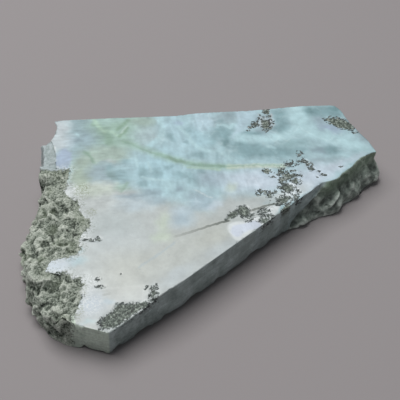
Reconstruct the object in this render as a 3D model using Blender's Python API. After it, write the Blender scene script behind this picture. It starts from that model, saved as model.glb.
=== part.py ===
"""A sawn and polished slab of larimar that keeps part of its natural rind.

The slab lies flat on its sawn underside. Metres, +Z up, +X along the long sawn
back edge, origin at the middle of the slab's box on the surface it lies on.
The stone and the grey-green rind it grew in are one natural piece, so the
slab is one solid.
"""
import math

import bmesh
import bpy
from mathutils import Vector, geometry, noise

MM = 0.001

# Driving dimensions in millimetres
THICKNESS = 11.0
CORNER_WEAR = 1.8
CORNER_WEAR_INNER = 6.0
CORNER_WEAR_OUTER = 14.0

# Mesh spacing in millimetres and number of steps from the top rim to the base
NATURAL_STEP = 1.2
SAWN_STEP = 4.5
LEVELS = 17
TOP_LATTICE = 6.0
BASE_LATTICE = 12.0

# Side profiles from the top rim down: share of the way out, share of the height
SAWN = ((0.0, 1.0), (0.0, 0.0))
BROKEN = ((0.0, 1.0), (0.16, 0.84), (0.40, 0.62), (0.80, 0.40), (1.0, 0.18), (0.93, 0.0))
END = ((0.0, 1.0), (0.35, 0.86), (0.75, 0.58), (1.0, 0.28), (0.94, 0.0))
LEDGE = ((0.0, 1.0), (0.14, 0.76), (0.50, 0.70), (0.84, 0.58), (1.0, 0.34), (0.95, 0.0))
CRUST = ((0.0, 1.0), (0.28, 0.98), (0.60, 0.90), (0.86, 0.72), (1.0, 0.42), (0.92, 0.0))

# How far each kind of side is thrown up into lumps, in millimetres
LUMPS = {SAWN: 0.0, BROKEN: 0.8, END: 0.7, LEDGE: 0.5, CRUST: 1.3}
LUMP_SINK = 0.3

# Number of steps below the top rim over which the lumps grow to that height
CALM = {SAWN: 2.5, BROKEN: 2.5, END: 2.5, LEDGE: 2.5, CRUST: 6.0}
SAW_SKIM = 0.05


def section(top, outer, profile, crease=1.0):
    """One upright cut through the rim; the saw cut reaches down to crease."""
    return {"top": top, "outer": outer, "profile": profile, "crease": crease}


# Plan points in millimetres, anticlockwise from the front corner
SECTIONS = (
    section((-31.0, -39.0), (-31.0, -39.0), SAWN),
    section((-12.0, -26.7), (-12.0, -26.7), SAWN),
    section((18.5, -4.4), (18.5, -4.4), SAWN),
    section((20.0, -3.3), (19.6, -4.3), BROKEN, 0.15),
    section((22.5, -1.5), (21.8, -3.3), BROKEN, 0.35),
    section((25.5, 0.7), (25.2, -1.9), BROKEN, 0.60),
    section((28.5, 2.9), (28.4, 0.0), BROKEN, 0.88),
    section((30.4, 4.6), (31.0, 0.9), BROKEN),
    section((33.0, 5.0), (34.6, 1.5), BROKEN),
    section((35.5, 6.0), (36.6, 2.6), BROKEN),
    section((37.3, 8.1), (38.8, 5.0), BROKEN),
    section((40.0, 9.7), (42.3, 6.8), BROKEN),
    section((42.6, 12.3), (45.2, 9.2), BROKEN),
    section((44.9, 14.2), (47.4, 11.4), BROKEN),
    section((47.6, 15.4), (50.6, 13.6), BROKEN),
    section((49.5, 15.8), (52.6, 16.0), BROKEN),
    section((49.0, 19.3), (51.2, 20.4), END),
    section((47.1, 24.5), (49.2, 25.5), END),
    section((45.3, 29.3), (47.2, 30.4), END),
    section((44.1, 35.2), (45.8, 36.2), END),
    section((42.6, 38.0), (43.2, 38.3), END),
    section((40.5, 38.3), (40.5, 38.3), SAWN),
    section((32.0, 38.6), (32.0, 38.6), SAWN),
    section((17.5, 37.9), (17.5, 37.9), SAWN),
    section((-1.5, 37.8), (-1.5, 37.8), SAWN),
    section((-7.5, 37.2), (-7.5, 37.2), SAWN),
    section((-24.0, 37.6), (-24.0, 37.6), SAWN),
    section((-41.0, 37.7), (-41.0, 37.7), SAWN),
    section((-42.9, 37.3), (-43.2, 37.5), LEDGE),
    section((-42.1, 34.3), (-44.3, 35.4), LEDGE),
    section((-42.6, 31.8), (-46.7, 33.2), LEDGE),
    section((-44.0, 28.9), (-47.7, 30.0), LEDGE),
    section((-43.2, 26.6), (-47.8, 27.4), LEDGE),
    section((-42.7, 21.8), (-47.5, 22.8), LEDGE),
    section((-42.8, 17.0), (-47.6, 19.2), LEDGE),
    section((-38.9, 15.8), (-47.9, 16.2), CRUST),
    section((-39.4, 12.2), (-47.9, 13.6), CRUST),
    section((-41.0, 7.4), (-48.5, 9.8), CRUST),
    section((-38.0, 3.8), (-49.3, 6.2), CRUST),
    section((-36.6, -0.4), (-50.3, 1.8), CRUST),
    section((-34.3, -5.4), (-52.7, -3.0), CRUST),
    section((-36.8, -10.0), (-53.1, -7.2), CRUST),
    section((-37.6, -15.4), (-52.9, -10.8), CRUST),
    section((-44.2, -17.2), (-52.5, -13.6), CRUST),
    section((-45.6, -20.6), (-51.9, -16.8), CRUST),
    section((-39.6, -22.4), (-51.1, -20.0), CRUST),
    section((-37.2, -26.4), (-50.4, -23.2), CRUST),
    section((-37.4, -30.8), (-49.3, -26.4), CRUST),
    section((-38.8, -34.2), (-47.3, -29.6), CRUST),
    section((-38.8, -35.8), (-44.7, -32.8), CRUST),
    section((-37.8, -36.2), (-41.6, -34.9), END),
    section((-36.6, -36.6), (-37.6, -36.2), SAWN),
)


def lerp(a, b, share):
    return a + (b - a) * share


def smoothstep(low, high, value):
    share = min(max((value - low) / (high - low), 0.0), 1.0)
    return share * share * (3.0 - 2.0 * share)


def walk(points, count):
    """Spread count + 1 points evenly by length along a line of points."""
    lengths = [0.0]
    for before, after in zip(points, points[1:]):
        lengths.append(lengths[-1] + (after - before).length)
    spread = []
    piece = 0
    for step in range(count + 1):
        reach = lengths[-1] * step / count
        while piece < len(points) - 2 and lengths[piece + 1] < reach:
            piece += 1
        run = lengths[piece + 1] - lengths[piece]
        share = (reach - lengths[piece]) / run if run > 0.0 else 0.0
        spread.append(points[piece].lerp(points[piece + 1], min(share, 1.0)))
    return spread


def side_line(cut):
    """The side of one section as points from the top rim to the base."""
    top = Vector(cut["top"])
    outer = Vector(cut["outer"])
    knots = [(0.0, 1.0)]
    for out, height in cut["profile"]:
        knots.append((out, height * cut["crease"]))
    points = []
    for out, height in knots:
        plan = top.lerp(outer, out)
        points.append(Vector((plan.x, plan.y, THICKNESS * height)))
    line = [points[0]]
    for point in points[1:]:
        if (point - line[-1]).length > 1e-6:
            line.append(point)
    return walk(line, LEVELS)


def stations():
    """The sections with finer ones between them, each with its lump height and calm steps."""
    columns = []
    for index, cut in enumerate(SECTIONS):
        following = SECTIONS[(index + 1) % len(SECTIONS)]
        start, end = side_line(cut), side_line(following)
        lumps = LUMPS[cut["profile"]], LUMPS[following["profile"]]
        calm = CALM[cut["profile"]], CALM[following["profile"]]
        gap = max((a - b).length for a, b in zip(start, end))
        step = SAWN_STEP if max(lumps) == 0.0 else NATURAL_STEP
        count = max(1, round(gap / step))
        for part in range(count):
            share = part / count
            line = [a.lerp(b, share) for a, b in zip(start, end)]
            crease = lerp(cut["crease"], following["crease"], share)
            columns.append((line, lerp(*lumps, share), lerp(*calm, share), crease))
    return columns


def lump(point):
    """Height of the stone's lumps at a point, mostly below the side it starts from."""
    wide = noise.noise(point / 6.5)
    middle = noise.noise(point / 2.9 + Vector((7.0, 3.0, 5.0)))
    near = noise.voronoi(point / 4.2)[0]
    knob = min(near[1] - near[0], 0.6) / 0.3 - 1.0
    return 0.75 * wide + 0.5 * middle + 0.45 * knob - LUMP_SINK


def roughened(columns):
    """Throw the natural sides up into lumps, clear of the two flat faces."""
    count = len(columns)
    rough = []
    for index, (line, height, calm, crease) in enumerate(columns):
        before, after = columns[index - 1][0], columns[(index + 1) % count][0]
        moved = []
        for level, point in enumerate(line):
            along = after[level] - before[level]
            down = line[min(level + 1, LEVELS)] - line[max(level - 1, 0)]
            out = down.cross(along).normalized()
            fade = smoothstep(0.0, calm, level) * smoothstep(0.0, 2.0, LEVELS - level)
            fade *= smoothstep(0.0, 1.2, THICKNESS * crease - point.z + 0.6)
            shift = out * height * fade * lump(point)
            ragged = Vector((noise.noise(point / 2.1), noise.noise(point / 2.3 + out), 0.0))
            shift += 0.45 * min(height, 1.0) * (1.0 - fade) * ragged
            if level in (0, LEVELS):
                shift.z = 0.0
            placed = point + shift
            if level > 0:
                placed.z = min(placed.z, THICKNESS - SAW_SKIM)
            moved.append(placed)
        rough.append(moved)
    return rough


def lattice_inside(loop, spacing):
    """Points of a staggered lattice that lie well inside a plan outline."""
    xs = [point.x for point in loop]
    ys = [point.y for point in loop]
    rows = int((max(ys) - min(ys)) / spacing) + 1
    seats = int((max(xs) - min(xs)) / spacing) + 1
    inside = []
    for row in range(rows):
        for seat in range(seats):
            point = Vector((min(xs) + spacing * (seat + 0.5 * (row % 2)), min(ys) + spacing * row))
            if clearance(point, loop) > 0.45 * spacing:
                inside.append(point)
    return inside


def clearance(point, loop):
    """Distance from a point to the outline, negative outside it."""
    nearest = math.inf
    inside = False
    for before, after in zip(loop, loop[1:] + loop[:1]):
        foot, share = geometry.intersect_point_line(point, before, after)
        foot = before.lerp(after, min(max(share, 0.0), 1.0)).to_2d()
        nearest = min(nearest, (point - foot).length)
        if (before.y > point.y) != (after.y > point.y):
            crossing = lerp(before.x, after.x, (point.y - before.y) / (after.y - before.y))
            inside ^= point.x < crossing
    return nearest if inside else -nearest


def add_flat_face(mesh, ring, spacing, upward):
    """Close a ring of vertices with even triangles in its own plane."""
    loop = [vertex.co.to_2d() for vertex in ring]
    extra = lattice_inside(loop, spacing)
    outline = [list(range(len(loop)))]
    points, _, faces, _, _, _ = geometry.delaunay_2d_cdt(loop + extra, [], outline, 1, 1e-6)
    height = ring[0].co.z
    corners = list(ring)
    for point in points[len(loop):]:
        corners.append(mesh.verts.new((point.x, point.y, height)))
    for face in faces:
        order = face if upward else reversed(face)
        mesh.faces.new([corners[index] for index in order])


def wear_front_corner(mesh):
    """Lower the polished face towards the worn front corner."""
    corner = Vector(SECTIONS[0]["top"])
    for vertex in mesh.verts:
        distance = (vertex.co.to_2d() - corner).length
        wear = CORNER_WEAR * (1.0 - smoothstep(CORNER_WEAR_INNER, CORNER_WEAR_OUTER, distance))
        vertex.co.z *= 1.0 - wear / THICKNESS


def centre_on_box(mesh):
    """Put the origin at the middle of the box, on the surface below."""
    xs = [vertex.co.x for vertex in mesh.verts]
    ys = [vertex.co.y for vertex in mesh.verts]
    middle = Vector((0.5 * (min(xs) + max(xs)), 0.5 * (min(ys) + max(ys)), 0.0))
    bmesh.ops.translate(mesh, vec=-middle, verts=mesh.verts)


def slab_mesh():
    """The closed body: lofted sides between two flat faces."""
    mesh = bmesh.new()
    columns = [[mesh.verts.new(point) for point in line] for line in roughened(stations())]
    for column, following in zip(columns, columns[1:] + columns[:1]):
        for level in range(LEVELS):
            mesh.faces.new((column[level], column[level + 1], following[level + 1], following[level]))
    add_flat_face(mesh, [column[0] for column in columns], TOP_LATTICE, True)
    add_flat_face(mesh, [column[-1] for column in columns], BASE_LATTICE, False)
    wear_front_corner(mesh)
    centre_on_box(mesh)
    bmesh.ops.scale(mesh, vec=(MM, MM, MM), verts=mesh.verts)
    bmesh.ops.triangulate(mesh, faces=mesh.faces)
    data = bpy.data.meshes.new("larimar_slab")
    mesh.to_mesh(data)
    mesh.free()
    data.shade_smooth()
    data.set_sharp_from_angle(angle=math.radians(35.0))
    return data


def larimar():
    """Pale blue polished stone."""
    material = bpy.data.materials.new("larimar")
    material.use_nodes = True
    shader = material.node_tree.nodes["Principled BSDF"]
    shader.inputs["Base Color"].default_value = (0.50, 0.62, 0.64, 1.0)
    shader.inputs["Roughness"].default_value = 0.4
    shader.inputs["Metallic"].default_value = 0.0
    return material


def main():
    for old in list(bpy.data.objects):
        bpy.data.objects.remove(old)
    collection = bpy.data.collections.new("larimar slab")
    bpy.context.scene.collection.children.link(collection)
    slab = bpy.data.objects.new("larimar_slab", slab_mesh())
    slab.data.materials.append(larimar())
    collection.objects.link(slab)


main()
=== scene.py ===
"""Looks of the larimar slab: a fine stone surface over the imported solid, and the studio.

Lengths in the tables and in the shape functions are millimetres in the slab's own frame:
+X to the right and +Y to the long back edge, with the polished face seen from above.
"""

import math

import bmesh
import bpy
import numpy as np
from mathutils import Matrix, Vector, noise


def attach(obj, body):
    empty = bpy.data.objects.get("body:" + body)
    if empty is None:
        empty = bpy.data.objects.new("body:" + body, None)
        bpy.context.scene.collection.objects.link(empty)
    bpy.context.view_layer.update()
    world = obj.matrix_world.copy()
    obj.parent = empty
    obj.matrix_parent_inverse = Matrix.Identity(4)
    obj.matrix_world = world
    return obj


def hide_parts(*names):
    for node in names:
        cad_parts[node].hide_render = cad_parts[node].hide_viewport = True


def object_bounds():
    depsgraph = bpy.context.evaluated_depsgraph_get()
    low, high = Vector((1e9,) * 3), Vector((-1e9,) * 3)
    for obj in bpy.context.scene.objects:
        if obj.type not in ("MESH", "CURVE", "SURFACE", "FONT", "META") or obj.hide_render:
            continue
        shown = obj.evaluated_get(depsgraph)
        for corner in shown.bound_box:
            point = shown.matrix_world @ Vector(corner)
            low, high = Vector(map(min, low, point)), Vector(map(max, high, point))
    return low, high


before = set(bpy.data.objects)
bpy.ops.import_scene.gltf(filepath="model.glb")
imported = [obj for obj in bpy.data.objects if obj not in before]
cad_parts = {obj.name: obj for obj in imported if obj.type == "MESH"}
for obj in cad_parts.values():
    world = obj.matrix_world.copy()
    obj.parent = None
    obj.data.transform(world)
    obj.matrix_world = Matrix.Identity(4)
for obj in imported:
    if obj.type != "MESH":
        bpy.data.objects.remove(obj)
cad_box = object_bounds()
scene = bpy.context.scene

MM = 0.001
NODE = "larimar_slab"
SEED = 3

# Surfaces of the slab
TOP, SAWN, NATURAL, BASE = range(4)

# Edge lengths of the fine mesh, and how often the solid's edges are halved
STEP = {TOP: 0.70, SAWN: 1.1, NATURAL: 0.45, BASE: 3.0}
ARRIS_STEP = 0.38
REFINE_PASSES = 8

# The worn front corner, as in the solid
CORNER = (-30.73, -38.8)
CORNER_WEAR = 1.8
CORNER_WEAR_INNER = 6.0
CORNER_WEAR_OUTER = 14.0

# Plan lines of the two saw cuts that stand upright
FRONT_CUT = ((-36.33, -36.4), (-30.73, -38.8), (-11.73, -26.5), (18.77, -4.2), (28.77, 3.1))
BACK_CUT = ((40.77, 38.5), (32.27, 38.8), (17.77, 38.1), (-1.23, 38), (-7.23, 37.4),
            (-23.73, 37.8), (-40.73, 37.9))
FLAT_TOLERANCE = 0.06
LEVEL_TOLERANCE = 0.03
SHARP_ANGLE = 30.0

# Where the rind meets the stone, from the left edge at the top to the front
CONTACT = (
    (-47.5, 17.6), (-45.5, 16.9), (-42.5, 16.2), (-40.5, 16.6), (-38.4, 16.4), (-38.9, 14.6),
    (-39.6, 12.2), (-39.8, 10.6), (-39, 9.8), (-40.6, 7.9), (-41.8, 6.3), (-40.6, 5.6), (-38.4, 4.9),
    (-36.8, 4), (-36.3, 2), (-36.6, 0), (-36.2, -2), (-34, -3.4), (-33.7, -5.5), (-34.6, -7.4),
    (-36.2, -8.2), (-37, -9.6), (-36.7, -11.2), (-36.1, -13), (-37.2, -14.9), (-38.6, -15.9),
    (-41.2, -16), (-44.4, -16.5), (-45.8, -18.4), (-46.2, -20.6), (-43, -20.6), (-39.6, -20.9),
    (-38.9, -22.4), (-36.6, -22.9), (-36, -25), (-36.9, -27), (-36.2, -29.6), (-38.1, -30.4),
    (-39, -31.4), (-38.6, -33.2), (-39.2, -36.5),
)
ROCK_EVERYWHERE = 1.2
LEDGE_FROM = 15.6
LEDGE_INNER = -41.6
LEDGE_TOP = 10.8
FRONT_FACE = -33.4
ROCK_ENDS = (-42, -39.3)
SAW_REACH = (18.8, 31)
WEB_TINT = (12.0, 10.0, 9.0)
RIND_BEYOND = ((-41, -42), (-60, -42), (-60, 17))

# Colours as they look in daylight, red, green and blue out of 255
CREAM = (185, 193, 192)
IVORY = (188, 193, 186)
WHITE = (218, 225, 226)
PEARL = (190, 201, 205)
FROST = (199, 213, 225)
PATCH_LILAC = (206, 216, 230)
ICE = (182, 214, 220)
ICE_GREEN = (184, 207, 198)
HAZE = (183, 203, 213)
DUSK = (159, 180, 191)
LILAC = (162, 180, 201)
POWDER = (183, 208, 219)
BLUE = (173, 203, 213)
AQUA = (170, 199, 206)
CYAN = (168, 203, 213)
SEA = (133, 165, 171)
DEEP_SEA = (116, 149, 154)
STEEL = (151, 176, 182)
SLATE = (138, 160, 169)
TEAL = (153, 174, 181)
MIST = (173, 194, 197)
LAGOON = (149, 180, 185)
DARK_TEAL = (122, 149, 150)
SAGE = (157, 187, 172)
MINT = (170, 198, 195)
LICHEN = (162, 182, 172)
LEAF = (133, 163, 146)
MOSS = (139, 170, 150)
FERN = (142, 174, 161)
LIME = (173, 202, 183)
BUTTER = (195, 209, 192)
KHAKI = (156, 174, 159)
OLIVE = (132, 143, 112)
MAUVE = (174, 186, 187)
FAINT_SPOT = (150, 160, 168)
PALE_CRUMB = (217, 224, 225)
DARK_CRUMB = (134, 143, 131)
# Painted highlight along the rims of the cracks
CRACK_HIGHLIGHT = (208, 212, 206)
CRACK_DARK = (96, 104, 98)
RIND_MOSS = (136, 149, 124)
FRONT_GREEN = (222, 236, 218)
RIM_GREEN = (122, 150, 122)

# Shades from dark to light, with their places on the noise that mixes them
CHIP_SHADES = ((0.38, (30, 38, 38)), (0.48, (62, 72, 71)), (0.56, (108, 118, 115)),
               (0.64, (186, 195, 194)))
MOSS_SHADES = ((0.38, (36, 45, 40)), (0.48, (72, 84, 76)), (0.56, (110, 122, 112)),
               (0.64, (165, 175, 166)))
RIND_SHADES = ((0.31, (50, 57, 50)), (0.42, (100, 109, 98)), (0.50, (140, 149, 137)),
               (0.60, (170, 178, 166)), (0.72, (205, 211, 200)))
# The sawn sides' greys are duller than the polished stone and darker; the darkness is painted shade
SAWN_SHADES = ((0.32, (126, 142, 139)), (0.5, (161, 177, 175)), (0.68, (192, 206, 206)))
BROKEN_SHADES = ((0.32, (72, 82, 76)), (0.44, (112, 123, 116)), (0.56, (148, 160, 151)),
                 (0.70, (196, 206, 198)))
LEDGE_SHADES = ((0.34, (139, 153, 152)), (0.48, (157, 170, 171)), (0.62, (176, 188, 190)))

# Roughness of each surface, and how strongly the stone bends light
SIDE_ROUGHNESS = 0.62
POLISH_ROUGHNESS = 0.36
MINERAL_ROUGHNESS = 0.6
RIND_ROUGHNESS = 0.92
STONE_IOR = 1.6


def wash(colour, x, y, along, across, strength=0.6, edge=0.75, turn=0.0):
    """A soft oval of colour; edge is the share of its radius that fades."""
    return {"colour": colour, "centre": (x, y), "reach": (along, across), "strength": strength,
            "edge": edge, "turn": turn}


def streak(colour, width, strength, *points, edge=0.6):
    """A soft line of colour of a half width, through points."""
    return {"colour": colour, "width": width, "strength": strength, "points": points, "edge": edge}


# The stone's colours as layers, painted in this order over cream and aqua
COAST = ((-60, 14), (-45, 14), (-36, 11), (-28, 9), (-22, 8), (-16, 3), (-8, -2), (-2, -3),
         (4, 3), (10, 1), (16, -5), (24, -20), (60, -20))
COAST_WIDTH = 4.0

LEFT_LAYERS = (
    wash(STEEL, -33.8, 33.6, 5.4, 5.4, 0.95, 0.5), wash(STEEL, -33.4, 28, 4.6, 3.6, 0.9),
    wash(SLATE, -31.8, 30.8, 2.8, 3.6, 0.75), wash(SLATE, -36.1, 28.2, 2, 1, 0.85),
    wash(PEARL, -41.6, 34.4, 3.4, 5, 1, 0.7), wash(PEARL, -41.8, 28, 3.2, 4.4, 0.95, 0.7),
    streak(WHITE, 0.3, 0.9, (-42.7, 33), (-43.2, 31), (-44, 29.3), (-43.4, 26.8)),
    wash(ICE, -36.3, 30.6, 0.7, 0.7), wash(HAZE, -38.6, 26.6, 1.8, 3.4), wash(STEEL, -36.4, 22.6, 2.2, 3.4),
    wash(LILAC, -40.4, 20.6, 2.3, 4.6, 0.95, 0.3), wash(PEARL, -42, 17.4, 0.5, 1.4, 0.8),
    wash(PEARL, -39.9, 17.2, 0.4, 1.1), streak(WHITE, 0.35, 0.9, (-43, 26.5), (-42.8, 22.5), (-42.9, 18.5)),
    wash(SAGE, -26.5, 34.6, 6, 4.4, 0.9), wash(MINT, -26.6, 36.2, 3, 1.6),
    wash(SAGE, -24.6, 28, 5.6, 4.6, 0.85), wash(LEAF, -27.5, 28.9, 1.4, 4.2, 0.85, turn=20),
    wash(MOSS, -31.2, 35.2, 0.5, 1.5, turn=12),
    streak(LIME, 0.6, 0.75, (-31, 37.2), (-30, 34.4), (-29, 32.6), (-28.2, 31.6), edge=0.9),
    streak(LIME, 0.5, 0.5, (-27.4, 32.2), (-25.8, 31.2), (-24.8, 30)),
    wash(SAGE, -18.6, 34.4, 3.8, 3.8, 0.85),
    streak(MOSS, 0.55, 0.85, (-20.8, 36.4), (-22.8, 34.2), (-24.4, 32.2)),
    streak(MOSS, 0.5, 0.95, (-21.4, 32.6), (-22.8, 30.8), (-24, 29.2)),
    streak(ICE_GREEN, 0.3, 0.75, (-21.4, 33.8), (-22.5, 32.2), (-23.5, 30.6)),
    wash(MOSS, -21.9, 26.5, 1.8, 0.7, 0.75, turn=-28), wash(LICHEN, -28.6, 21.6, 6.8, 4.2, 0.95, 0.5),
    wash(MAUVE, -27.6, 18.6, 1.9, 0.8, 0.7), wash(SEA, -23.4, 18, 1.6, 1.2, 0.7),
    wash(SLATE, -29.6, 18.2, 1.2, 0.5, 0.55), wash(SLATE, -26.8, 17.2, 3, 0.6, 0.45),
    wash(KHAKI, -35, 18.6, 2.6, 2.8, 0.8, 0.9),
    streak(LEAF, 0.4, 0.8, (-34.3, 23.6), (-33.4, 22.4), (-32.6, 20.6), (-31.9, 18.4), edge=0.9),
    wash(LEAF, -33.6, 23, 1.1, 0.9), wash(KHAKI, -35.8, 13.4, 3.4, 3.4, 0.95, 0.6),
    wash(TEAL, -30.6, 13.8, 3.4, 2.6, 0.85), wash(SEA, -24.4, 12.2, 2.4, 3, 0.7),
    wash(DARK_TEAL, -27, 13, 1.2, 2.3, 0.85, 0.9, turn=15), wash(SEA, -27.8, 15.4, 1.3, 0.9),
    wash(ICE, -23.4, 15.1, 1.5, 0.4, 0.55), wash(CREAM, -30.6, 7, 5, 3.4, 0.95, 0.5),
    wash(BUTTER, -31.6, 7.6, 4.2, 2.4), wash(BUTTER, -36, 9.6, 1.8, 2),
    wash(WHITE, -39.2, 6.6, 1.9, 1.1, 0.6, 0.9, turn=35), wash(SAGE, -24.8, 8, 2.2, 1.5, 0.7),
    streak(LEAF, 0.4, 0.5, (-23.2, 9.4), (-23.9, 7.6), (-24.8, 6.2), edge=0.9),
    wash(DUSK, -21, 3.8, 5.4, 1.3, 0.65), wash(HAZE, -21.5, 0.6, 5, 2.4), wash(DUSK, -15.4, 2.2, 3, 1.5),
    streak(SLATE, 0.45, 0.3, (-26, 4.5), (-22.5, 4), (-18.5, 4.4)),
)

MIDDLE_LAYERS = (
    wash(MIST, -16.2, 29, 3.6, 6.4, 0.8), wash(LICHEN, -16.4, 36, 3.4, 2.4, 0.7),
    streak(ICE, 0.9, 0.85, (-12.4, 37.8), (-11.5, 35), (-11.2, 32), (-11.6, 29.6), (-12.8, 27.4),
           (-14.2, 25.4), (-16.2, 23.4)),
    wash(BLUE, -7.6, 34, 2.8, 4.2, 0.8), wash(LILAC, -6.4, 33.8, 1.3, 1, 0.5),
    wash(STEEL, -9, 36.4, 1.1, 1.3, 0.5), wash(BLUE, -6.5, 25.4, 3, 5),
    wash(SEA, -9.3, 28.6, 1.3, 1.5, 0.65, turn=20), wash(SEA, -8.2, 26.4, 1, 1.8, 0.55, turn=20),
    wash(CYAN, -1, 26.5, 3.4, 6, 0.7), wash(SEA, -5.1, 25.3, 0.5, 0.8), wash(SEA, -3.4, 29.9, 1.1, 1, 0.45),
    wash(POWDER, 1.6, 34.6, 3.4, 4.4, 0.95), wash(TEAL, 8.2, 35.6, 4.2, 2.2, 0.9),
    wash(TEAL, 7.4, 32.4, 3.4, 1.6), wash(SEA, 6.2, 33.2, 1.3, 0.9, 0.5),
    wash(SEA, 6.2, 28.4, 2.8, 2.8, 0.85), wash(SEA, 3, 25.6, 1.2, 2.6, 0.55, turn=-15),
    wash(SEA, 10.6, 23.4, 2.4, 2.6, 0.85), wash(DEEP_SEA, 6.9, 24, 0.9, 3, 0.85, turn=-8),
    wash(SEA, -2, 18.9, 2.6, 1.4, 0.65), wash(SEA, 3.2, 18.3, 0.5, 1.3, 0.5, turn=-20),
    streak(ICE, 0.5, 0.7, (5.6, 31.9), (7.8, 31.6), (8.8, 30.2), (10, 31.8)),
    streak(POWDER, 1, 0.8, (12.6, 37.8), (12.4, 32), (10.8, 28.4), (9.8, 26)),
    wash(POWDER, 14, 34, 1.6, 5, 0.9, turn=-12), wash(CYAN, -13.8, 13.8, 7, 8.5, 0.9, turn=-10),
    wash(SEA, -18.6, 13.4, 1.3, 2.5, 0.75), wash(SEA, -15, 12.6, 1.7, 1.7),
    wash(SEA, -8.3, 11, 1.5, 1.3, 0.65), wash(SEA, -10.4, 14.8, 1.3, 0.6),
    wash(SEA, -18.6, 8.6, 1.5, 1, 0.65), wash(SLATE, -16.4, 5.4, 2.2, 1.2, 0.8),
    wash(SLATE, -8.9, 6.2, 1.5, 1.1, 0.8), wash(ICE, -12, 7.6, 2, 2.2, 0.55),
    streak(ICE, 0.45, 0.65, (-20.2, 20.5), (-19.8, 16)),
    streak(ICE, 0.4, 0.6, (-16.6, 17.4), (-16.2, 13.4)),
    streak(ICE, 0.5, 0.7, (-18.8, 11.6), (-17.4, 10.6), (-15.6, 10), (-13.4, 9.8)),
    wash(SEA, -4.6, 10, 2, 2.6, 0.75), wash(DUSK, 0.4, 9.3, 3.8, 3.4, 0.9), wash(SEA, -1.9, 12.5, 1, 0.6),
    wash(DUSK, -3.8, 0.2, 3.6, 3.2, 0.8, turn=30), wash(FROST, 9, 7.4, 5.6, 4.4, 0.85),
    wash(BUTTER, 5.4, 5.8, 1.5, 1.5),
    streak(WHITE, 0.25, 0.45, (-4.7, 5), (-3.4, 3.8), (-2.2, 2.6), (-0.6, 1.6)),
    streak(SAGE, 1.3, 0.6, (-21, 25.4), (-17, 22.6), (-13.6, 20.4), (-10, 18.2), (-6, 16.2), (-2, 14.8),
           (2, 14), (7, 13.2), edge=0.9),
    streak(FERN, 0.32, 0.7, (-22.6, 26.6), (-20, 24.8), (-17.6, 22.9), (-15.6, 21.4), (-13.8, 20.6)),
    streak(FERN, 0.7, 0.7, (-13.8, 20.6), (-11.4, 19.3), (-9.6, 17.9), (-7.4, 16.9), (-5, 15.7),
           (-2.2, 14.9)),
    streak(FERN, 0.5, 0.65, (-2.2, 14.9), (1, 14.4), (3.6, 13.8), (8, 13.5)),
    streak(LEAF, 0.45, 0.7, (-11, 18.9), (-9.2, 17.6), (-6.6, 16.5), edge=0.9),
    streak(LEAF, 0.35, 0.6, (-4.6, 15.4), (-2, 14.6), (2, 14.2), edge=0.9),
    wash(LEAF, 3.6, 13.6, 1.4, 0.6, 0.7),
    streak(LIME, 0.5, 0.6, (-5.6, 14.2), (-2, 13.6), (1.4, 13.2), (3, 12.4)),
    streak(BUTTER, 0.95, 0.8, (6, 13.4), (12, 13.2), (16, 12.9), (21.4, 12.6)),
    streak(FERN, 0.28, 0.6, (5, 13.7), (12, 13.5), (16.4, 13.3), (21, 12.9)),
    streak(ICE, 0.65, 0.7, (-6.2, 31.8), (-4.9, 29.6), (-4, 27.8), (-3.6, 25.6), (-2.6, 23.6),
           (-1.2, 21.9), (0.8, 20.7), (3.6, 20.3), (6.2, 17.8), (8, 15.8)),
)

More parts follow.
